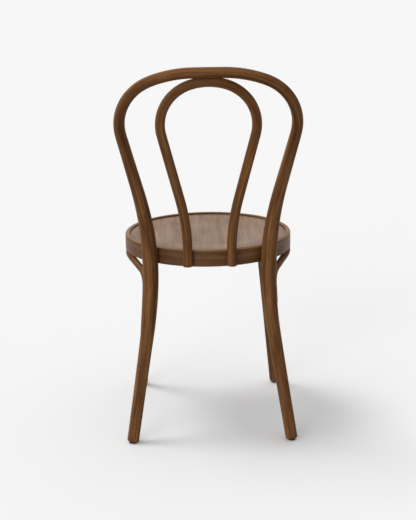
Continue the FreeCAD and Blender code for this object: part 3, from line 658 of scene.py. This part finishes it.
panel_out, panel_up = panel_profile().T[..., None]
panel_turns = np.linspace(0.0, 2 * math.pi, TURNS, endpoint=False)
panel_grid = turned(panel_out, panel_up, panel_turns)
panel_stick = panel_grid[..., [1, 0, 2]]
seat_panel = piece("seat_panel_pressed", panel_grid, panel_stick, shift=11.3)
veneer = wood("pressed_beech_veneer_walnut_stain",
              [(0.34, "#684d35"), (0.45, "#7f6147"), (0.56, "#8d6d51"), (0.70, "#a08262")],
              4.5, 300.0, 0.3, (0.42, 0.52), 0.42)
dress(seat_panel, "seat_panel", veneer)

# %% [markdown]
# ## Front legs
# The front legs are straight, turned sticks that get thicker up to the ring, splayed and raked
# like the rear ones. They end flush under the ring, where a tenon goes on up into the wood.

# %% Front legs
front_turn = math.radians(FRONT["turn"])
front_out = seat_radius - FRONT["inset"]
front_top = np.array([front_out * math.sin(front_turn), seat_y - front_out * math.cos(front_turn),
                      ring_bottom])
front_foot = front_top + (FRONT["splay"], -FRONT["rake"], -ring_bottom)
front_way = unit(front_top - front_foot)


def front_centre(z):
    """The left front leg's centre at a level, on the line from its foot to its top."""
    return front_foot + front_way * (z / front_way[2])


def front_rod(z):
    """The front leg's diameter at a level, growing evenly from the foot to the ring."""
    return FRONT["foot_rod"] + (FRONT["top_rod"] - FRONT["foot_rod"]) * z / ring_bottom


def front_leg(word, side, shift):
    """One front leg, its ends cut level: near them the points slide along the leg to the cut."""
    levels = np.append(np.arange(glide_top, ring_bottom, 6 * MM), ring_bottom)
    path = front_centre(levels[:, None])
    distance = (levels - glide_top) / front_way[2]
    grid, stick = rod_grid(path, distance, front_rod(levels), (1.0, 0.0, 0.0), FRAME["soft"])
    near_foot = np.clip(1 - (stick[..., 0] / FRONT["cut_reach"]), 0.0, 1.0)
    near_top = np.clip(1 - (distance[-1] - stick[..., 0]) / FRONT["cut_reach"], 0.0, 1.0)
    centre_z = glide_top + stick[..., 0] * front_way[2]
    tilt = grid[..., 2] - centre_z
    slide = -(near_foot + near_top) * tilt / front_way[2]
    grid = grid + slide[..., None] * front_way
    grid[..., 0] *= side
    obj = piece("front_leg_turned_" + word, grid, stick, shift=shift)
    dress(obj, "front_leg_" + word, beech)


front_leg("left", 1, 13.1)
front_leg("right", -1, 15.9)

# %% [markdown]
# ## Bow braces
# Under each side of the seat a thin stick springs from the rear leg up to the ring and down
# to the front leg. It is straight lines joined by arcs: each arc touches both lines that it
# joins, at the bend's radius times the tangent of half the turn from the corner.


# %% Bow braces
def bent_line(corners, bends):
    """Straight runs joined by tangent arcs, one bend radius for each inner corner."""
    parts = [corners[0][None]]
    for before, corner, after, bend in zip(corners, corners[1:], corners[2:], bends):
        way_in, way_out = unit(corner - before), unit(after - corner)
        turn = math.acos(float(np.clip(way_in @ way_out, -1, 1)))
        inwards = unit(way_out - way_in)
        centre = corner + inwards * bend / math.cos(turn / 2)
        angle = np.linspace(-turn / 2, turn / 2, 24)[:, None]
        tangent = unit(way_in + way_out)
        parts.append(centre + bend * (np.sin(angle) * tangent - np.cos(angle) * inwards))
    parts.append(corners[-1][None])
    return np.concatenate(parts)


def beside_leg(centre, rod, backwards):
    """Where a brace runs past a leg: outside it and towards the other leg."""
    turn = math.radians(BRACE["turn"])
    away = rod / 2 + BRACE["rod"] / 2 + BRACE["gap"]
    return centre + np.array([math.sin(turn), backwards * math.cos(turn), 0.0]) * away


def brace_path():
    """The left brace's centre line, from the rear leg to the front leg."""
    end, knee = ring_bottom - BRACE["end_drop"], ring_bottom - BRACE["knee_drop"]
    middle = np.array([seat_radius - BRACE["inset"] - BRACE["rod"] / 2, seat_y,
                       ring_bottom - FIT - BRACE["rod"] / 2])
    half = (0.0, BRACE["bow_half"], 0.0)
    corners = [
        beside_leg(leg_centre(end), float(frame_rod(np.array(end))), -1),
        beside_leg(leg_centre(knee), float(frame_rod(np.array(knee))), -1),
        middle + half,
        middle - half,
        beside_leg(front_centre(knee), front_rod(knee), 1),
        beside_leg(front_centre(end), front_rod(end), 1),
    ]
    bends = [BRACE["knee_bend"], BRACE["bow_bend"], BRACE["bow_bend"], BRACE["knee_bend"]]
    return evenly(bent_line(corners, bends), 3 * MM)


def side_brace(word, side, shift):
    """One brace, mirrored for the right."""
    path, distance = brace_path()
    grid, stick = rod_grid(path, distance, BRACE["rod"], (1.0, 0.0, 0.0), 2 * MM, rounds=40)
    grid = grid * (side, 1.0, 1.0)
    obj = piece("side_brace_bent_" + word, grid, stick, shift=shift)
    dress(obj, "side_brace_" + word, beech)
    return obj


side_braces = {1: side_brace("left", 1, 17.3), -1: side_brace("right", -1, 19.7)}

# %% [markdown]
# ## Steel and glides
# The screws, bolts, washers and inserts are zinc-plated steel: a cool grey metal, fairly
# smooth, with a faint mottle from the plating bath. The glides are dark polyethylene.


# %% Steel and plastic
def speckled(name, scale, detail, stops):
    """A material whose colour is speckled, and the specks to use again."""
    material, tree, shader = empty_material(name)
    place = add(tree, "ShaderNodeTexCoord").outputs["Object"]
    noise = add(tree, "ShaderNodeTexNoise", inputs={"Vector": place, "Scale": scale, "Detail": detail})
    specks = noise.outputs["Fac"]
    colour = add(tree, "ShaderNodeValToRGB", {}, {"Fac": specks}, stops)
    tree.links.new(colour.outputs["Color"], shader.inputs["Base Color"])
    return material, tree, shader, specks


# Zinc-plated steel: metallic, with a mottle about 3 mm across in its colour and roughness.
steel, steel_tree, steel_shader, mottle = speckled(
    "zinc_plated_steel", 320.0, 2.0, [(0.3, "#a9aba9"), (0.7, "#c6c8c4")])
steel_rough = add(steel_tree, "ShaderNodeMapRange", inputs={
    "Value": mottle, "To Min": 0.25, "To Max": 0.45})
steel_tree.links.new(steel_rough.outputs["Result"], steel_shader.inputs["Roughness"])
steel_shader.inputs["Metallic"].default_value = 1.0

# Dark moulded polyethylene, scuffed paler in specks about 1 mm across.
plastic, _, plastic_shader, _ = speckled(
    "dark_polyethylene", 900.0, 3.0, [(0.35, "#1b1714"), (0.75, "#3a332d")])
plastic_shader.inputs["Roughness"].default_value = 0.55

# %% [markdown]
# ## Screws, bolts, washers and glides
# The frame holds each fastener as a plain pin in its true place. Here each pin's axis is found
# from its own points, and a turned surface with the real details is laid on it: a thread is the
# radius rising and falling as a helix, a cross recess is the head's top pushed down along two
# bars, and a hexagon is the radius divided by the cosine of the angle to the nearest flat. Then
# each head gets its pocket in the wood, as the maker's countersink and counterbore cut it.


# %% Where each fastener is
def solids_in(node):
    """The separate solids of a node: points that share a triangle take the lowest label of its
    three points, until no label changes."""
    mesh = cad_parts[node].data
    points = np.empty(len(mesh.vertices) * 3)
    mesh.vertices.foreach_get("co", points)
    points, same = np.unique(points.reshape(-1, 3).round(6), axis=0, return_inverse=True)
    corners = np.empty(len(mesh.loops), np.int32)
    mesh.loops.foreach_get("vertex_index", corners)
    faces = same.ravel()[corners].reshape(-1, 3)
    label = np.arange(len(points))
    while True:
        lower = label.copy()
        np.minimum.at(lower, faces, label[faces].min(axis=1)[:, None])
        lower = lower[lower]
        if (lower == label).all():
            return [points[label == k] for k in np.unique(label)]
        label = lower


def pin_axis(points):
    """A pin's head end, its direction and its length, from the direction in which its points
    spread most. The head end is the one with the widest point."""
    centre = points.mean(axis=0)
    way = np.linalg.svd(points - centre, full_matrices=False)[2][0]
    along = (points - centre) @ way
    away = np.linalg.norm(points - centre - along[:, None] * way, axis=1)
    if along[away.argmax()] > 0.01 * MM:
        way, along = -way, -along
    return centre + along.min() * way, way, float(np.ptp(along))


def laid_on(axis, depth, radius, angle):
    """Grid points at a depth from the head end, a radius and an angle round a pin's axis."""
    start, way, _ = axis
    aside = unit(np.cross(way, (0.3, 0.5, 0.8)))
    over = np.cross(way, aside)
    radius = radius[..., None]
    return start + depth[..., None] * way + radius * (np.cos(angle)[..., None] * aside
                                                      + np.sin(angle)[..., None] * over)


def hardware(name, node, grids, material, closed=False):
    """One object from the grids of all the equal solids of a node. A closed grid is a ring."""
    faces, first = [], 0
    for grid in grids:
        rows, columns = grid.shape[:2]
        faces += grid_faces(rows, columns, closed, first)
        first += rows * columns
    obj = mesh_object(name, np.concatenate([grid.reshape(-1, 3) for grid in grids]), faces)
    obj.data.set_sharp_from_angle(angle=math.radians(35))
    dress(obj, node, material)


# %% Wood screws
SCREW = dict(head_radius=4.0 * MM, dome=0.35 * MM, neck=1.45 * MM, plain_share=0.38, pitch=1.8 * MM,
             ridge=0.5 * MM, runout=2 * MM, point=4 * MM, bar_half=0.42 * MM, bar_reach=2.3 * MM,
             bar_slope=1.2 * MM, recess=1.3 * MM)
UNDER_HEAD = np.array([[0.75, 3.9], [1.4, 3.2], [2.0, 2.5], [2.6, 1.9], [3.0, 1.45]]) * MM


def wood_screw(axis):
    """A countersunk screw: rounded head with a cross recess, cone, plain neck, thread and point.

    The core is the outline without its thread, as depths and radii. The ridge rises in the
    middle two fifths of each turn, and more and more over the thread's run-out.
    """
    length, neck, pitch = axis[2], SCREW["neck"], SCREW["pitch"]
    thread_from, point_from = SCREW["plain_share"] * length, length - SCREW["point"]
    turn = np.linspace(0.0, 2 * math.pi, 48, endpoint=False)
    dome = np.linspace(0.02, 1.0, 22)
    thread = np.arange(thread_from, point_from, pitch / 10)
    point = np.linspace(point_from, length, 22)[1:]
    depth = np.concatenate([SCREW["dome"] * dome ** 2, UNDER_HEAD[:, 0], thread, point])
    core = np.concatenate([SCREW["head_radius"] * dome, UNDER_HEAD[:, 1], np.full(len(thread), neck),
                           neck * (1 - (point - point_from) / (SCREW["point"] + 0.02 * MM))])
    depth, turn = np.broadcast_arrays(depth[:, None], turn)
    core = np.broadcast_to(core[:, None], depth.shape)
    phase = (depth / pitch - turn / (2 * math.pi)) % 1.0
    ridge = np.clip(1 - np.abs(phase - 0.5) * 5, 0, 1)
    ridge = ridge * np.clip((depth - thread_from) / SCREW["runout"], 0, 1)
    radius = core + SCREW["ridge"] * ridge * np.clip(core / neck, 0, 1)
    across, over = np.abs(radius * np.cos(turn)), np.abs(radius * np.sin(turn))
    bar = np.minimum(across, over) < SCREW["bar_half"]
    reach = np.clip((SCREW["bar_reach"] - np.maximum(across, over)) / SCREW["bar_slope"], 0, 1)
    on_dome = depth < SCREW["dome"] + 0.05 * MM
    return laid_on(axis, depth + bar * reach * on_dome * SCREW["recess"], radius, turn)


for node in ["loop_foot_screws", "loop_top_screws", "brace_ring_screws", "brace_leg_screws",
             "front_leg_screws"]:
    grids = [wood_screw(pin_axis(points)) for points in solids_in(node)]
    hardware(node + "_threaded", node, grids, steel)


# %% Frame bolts, washers and inserts
BOLT = dict(head=6 * MM, flat_radius=4.33 * MM, thread_from=14 * MM, thread_radius=2.75 * MM,
            end_radius=2.2 * MM, pitch=1 * MM, ridge=0.25 * MM)
BOLT_HEAD = np.array([[0.0, 0.1], [0.0, 4.1], [0.15, 4.35], [0.5, 4.7], [1.2, 5.0], [3.0, 5.0],
                      [5.4, 5.0], [5.9, 4.8], [6.0, 3.0]]) * MM


def frame_bolt(axis):
    """A hexagon-headed bolt: chamfered hexagon 10 mm across its corners, shank, fine thread.

    The chamfer is a turned outline of depth and radius, and the head is what lies inside both
    the outline and the hexagon.
    """
    length = axis[2]
    turn = np.linspace(0.0, 2 * math.pi, 72, endpoint=False)
    thread = np.arange(BOLT["thread_from"], length - BOLT["pitch"], BOLT["pitch"] / 10)
    depth = np.concatenate([BOLT_HEAD[:, 0], thread, [length]])
    limit = np.concatenate([BOLT_HEAD[:, 1], np.full(len(thread), BOLT["thread_radius"]),
                            [BOLT["end_radius"]]])
    depth, turn = np.broadcast_arrays(depth[:, None], turn)
    limit = np.broadcast_to(limit[:, None], depth.shape)
    flats = BOLT["flat_radius"] / np.cos((turn % (math.pi / 3)) - math.pi / 6)
    phase = (depth / BOLT["pitch"] - turn / (2 * math.pi)) % 1.0
    threaded = (depth > BOLT["thread_from"]) & (depth < length - 1.2 * BOLT["pitch"])
    ridge = BOLT["ridge"] * (1 - 2 * np.abs(phase - 0.5)) * threaded
    in_head = depth < BOLT["head"] + 0.01 * MM
    radius = np.where(in_head, np.minimum(limit, flats), limit + ridge)
    return laid_on(axis, depth, radius, turn)


grids = [frame_bolt(pin_axis(points)) for points in solids_in("frame_bolts")]
hardware("frame_bolts_hexagon", "frame_bolts", grids, steel)

for name in ["frame_washers", "frame_inserts", "glide_nails"]:
    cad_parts[name].data.materials.clear()
    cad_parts[name].data.materials.append(steel)

# %% Pockets for the heads
# Outlines of depth and radius, just wider than a screw's head and than the bolt's washer.
ABOVE = -9.0
SCREW_POCKET = np.array([[ABOVE, 0.01], [ABOVE, 4.15], [0.9, 4.15], [1.5, 3.3], [2.7, 2.0],
                         [2.9, 0.01]]) * MM
BOLT_POCKET = np.array([[ABOVE, 0.01], [ABOVE, 9.3], [7.6, 9.3], [7.6, 0.01]]) * MM


def let_in(obj, node, pocket, side=None):
    """Cuts a pocket into a piece for each head of a node, or only for those on one side.

    The pocket's outline of depth and radius starts above the head, clear of the wood. It is
    turned about the pin's axis, and the turned shape is taken away from the piece.
    """
    turn = np.linspace(0.0, 2 * math.pi, 32, endpoint=False)
    for points in solids_in(node):
        if side is not None and points[:, 0].mean() * side < 0:
            continue
        depth, radius, angle = np.broadcast_arrays(pocket[:, :1], pocket[:, 1:], turn)
        grid = laid_on(pin_axis(points), depth, radius, angle)
        cutter = piece("pocket", grid, grid)
        modifier = obj.modifiers.new("pocket", "BOOLEAN")
        modifier.operation = "DIFFERENCE"
        modifier.solver = "EXACT"
        modifier.object = cutter
        bpy.context.view_layer.update()
        cut = obj.evaluated_get(bpy.context.evaluated_depsgraph_get())
        obj.data = bpy.data.meshes.new_from_object(cut)
        obj.modifiers.clear()
        bpy.data.meshes.remove(cutter.data)
    obj.data.set_sharp_from_angle(angle=math.radians(50))
    print(obj.name, "let in for", node, "faces", len(obj.data.polygons))


for node in ["loop_foot_screws", "front_leg_screws"]:
    let_in(seat_ring, node, SCREW_POCKET)
let_in(seat_ring, "frame_bolts", BOLT_POCKET)
let_in(inner_loop, "loop_top_screws", SCREW_POCKET)
for side, brace in side_braces.items():
    let_in(brace, "brace_ring_screws", SCREW_POCKET, side)
    let_in(brace, "brace_leg_screws", SCREW_POCKET, side)

# %% Foot glides
def foot_glide(low, high):
    """A glide turned about an upright axis: nail hole, shallow dimple round it, flat underside,
    edge rounded by a quarter circle, a small chamfer and the flat top against the foot."""
    radius = (high.x - low.x) / 2
    soft = 1.2 * MM
    turn = np.linspace(0.0, 2 * math.pi, 64, endpoint=False)
    bend = np.linspace(0.0, math.pi / 2, 7)
    thick = high.z - low.z
    chamfer = 0.4 * MM
    dimple = np.array([[1.4, 0.5], [3.0, 0.35], [3.4, 0.0]]) * MM
    out = np.concatenate([dimple[:1, 0], dimple[:, 0], radius - soft + soft * np.sin(bend),
                          [radius, radius - chamfer]])
    up = np.concatenate([[thick], dimple[:, 1], soft - soft * np.cos(bend),
                         [thick - chamfer, thick]])
    out, turn = np.broadcast_arrays(out[:, None], turn)
    up = np.broadcast_to(up[:, None], out.shape)
    middle = (low + high) / 2
    return np.stack([middle.x + out * np.cos(turn), middle.y + out * np.sin(turn), low.z + up], 2)


for corner in ["rear_left", "rear_right", "front_left", "front_right"]:
    node = "foot_glide_" + corner
    low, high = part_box(node)
    grid = foot_glide(low, high)
    hardware(node + "_rounded", node, [grid], plastic, closed=True)

# %% [markdown]
# ## Floor, light and camera
# A wide pale floor fills the view, as a seamless paper roll does in a studio. One big soft lamp
# overhead, a little to the viewer's left and behind the chair, makes the soft pool of shadow. A
# second one stands low beside the camera, on its left, and lights the faces that are seen. The
# sky stands for pale walls and is brightest high up, behind the chair and on the left. The camera
# and reflections see the paper as it is, while the light that the floor throws back up at the
# chair is kept moderate, as by the dark cloths of a photo studio.

# %% Floor
PAPER = "#fbfbfb"
PAPER_THROWN_BACK = "#959595"


def seen_directly(tree):
    """1 for a ray from the camera or from a reflection or a glass, 0 for scattered light."""
    path = add(tree, "ShaderNodeLightPath").outputs
    direct = add(tree, "ShaderNodeMath", {"operation": "MAXIMUM"},
                 {0: path["Is Camera Ray"], 1: path["Is Glossy Ray"]})
    direct = add(tree, "ShaderNodeMath", {"operation": "MAXIMUM"},
                 {0: direct.outputs[0], 1: path["Is Transmission Ray"]})
    return direct.outputs[0]


FAR = 40.0
floor_corners = np.array([(-FAR, -FAR, 0), (FAR, -FAR, 0), (FAR, FAR, 0), (-FAR, FAR, 0)])
floor = mesh_object("floor", floor_corners, [(0, 1, 2, 3)])
floor_material, floor_tree, floor_shader = empty_material("paper_floor")
floor_tint = add(floor_tree, "ShaderNodeMix", {"data_type": "RGBA"}, {
    0: seen_directly(floor_tree), 6: linear(PAPER_THROWN_BACK), 7: linear(PAPER)})
floor_tree.links.new(floor_tint.outputs[2], floor_shader.inputs["Base Color"])
floor_shader.inputs["Roughness"].default_value = 1.0
floor_shader.inputs["Specular IOR Level"].default_value = 0.0
floor.data.materials.append(floor_material)

# %% Sky
SKY_TOWARDS = (0.50, -0.45, 0.74)
SKY_DIM = 0.35
SKY_BRIGHT = 0.80
SKY_SEEN = 0.92
world = bpy.data.worlds.new("studio")
bpy.context.scene.world = world
world.use_nodes = True
sky = world.node_tree
sky.nodes.clear()
sky_way = add(sky, "ShaderNodeTexCoord").outputs["Generated"]
sky_side = add(sky, "ShaderNodeVectorMath", {"operation": "DOT_PRODUCT"}, {0: sky_way, 1: SKY_TOWARDS})
sky_glow = add(sky, "ShaderNodeMapRange", {"interpolation_type": "SMOOTHSTEP"}, {
    "Value": sky_side.outputs["Value"], "From Min": -0.2, "From Max": 1.0,
    "To Min": SKY_DIM, "To Max": SKY_BRIGHT})
sky_strength = add(sky, "ShaderNodeMix", {"data_type": "FLOAT"}, {
    0: seen_directly(sky), 2: sky_glow.outputs["Result"], 3: SKY_SEEN})
sky_light = add(sky, "ShaderNodeBackground", inputs={
    "Color": linear("#ffffff"), "Strength": sky_strength.outputs[0]})
add(sky, "ShaderNodeOutputWorld", inputs={"Surface": sky_light.outputs["Background"]})

# %% Soft lamps
# Each lamp: where its light comes from, how wide it looks in degrees, and its strength.
LAMPS = {
    "lamp_overhead": ((0.45, -0.18, 1.0), 22, 0.86),
    "lamp_beside_camera": ((0.46, 0.88, 0.27), 34, 1.10),
}
for name, (towards, angle, energy) in LAMPS.items():
    lamp = bpy.data.lights.new(name, "SUN")
    lamp.energy = energy
    lamp.angle = math.radians(angle)
    lamp_object = bpy.data.objects.new(name, lamp)
    lamp_object.rotation_euler = Vector(towards).to_track_quat("Z", "Y").to_euler()
    bpy.context.scene.collection.objects.link(lamp_object)

# %% Camera
# The camera's place was worked out from the photograph: behind the chair, almost in its middle.
CAMERA_PLACE = Vector((0.0591, 3.2283 + seat_y, 1.2398))
CAMERA_WAY = Vector((-0.01749, -0.96641, -0.25640)).normalized()
CAMERA_ROLL = -0.0138
CAMERA_LENS = 117.45
camera_data = bpy.data.cameras.new("camera")
camera_data.sensor_fit = "HORIZONTAL"
camera_data.sensor_width = 36.0
camera_data.lens = CAMERA_LENS
camera = bpy.data.objects.new("camera", camera_data)
turn = CAMERA_WAY.to_track_quat("-Z", "Y").to_matrix().to_4x4()
camera.matrix_world = Matrix.Translation(CAMERA_PLACE) @ turn @ Matrix.Rotation(CAMERA_ROLL, 4, "Z")
bpy.context.scene.collection.objects.link(camera)
bpy.context.scene.camera = camera
bpy.context.scene.view_settings.view_transform = "Standard"
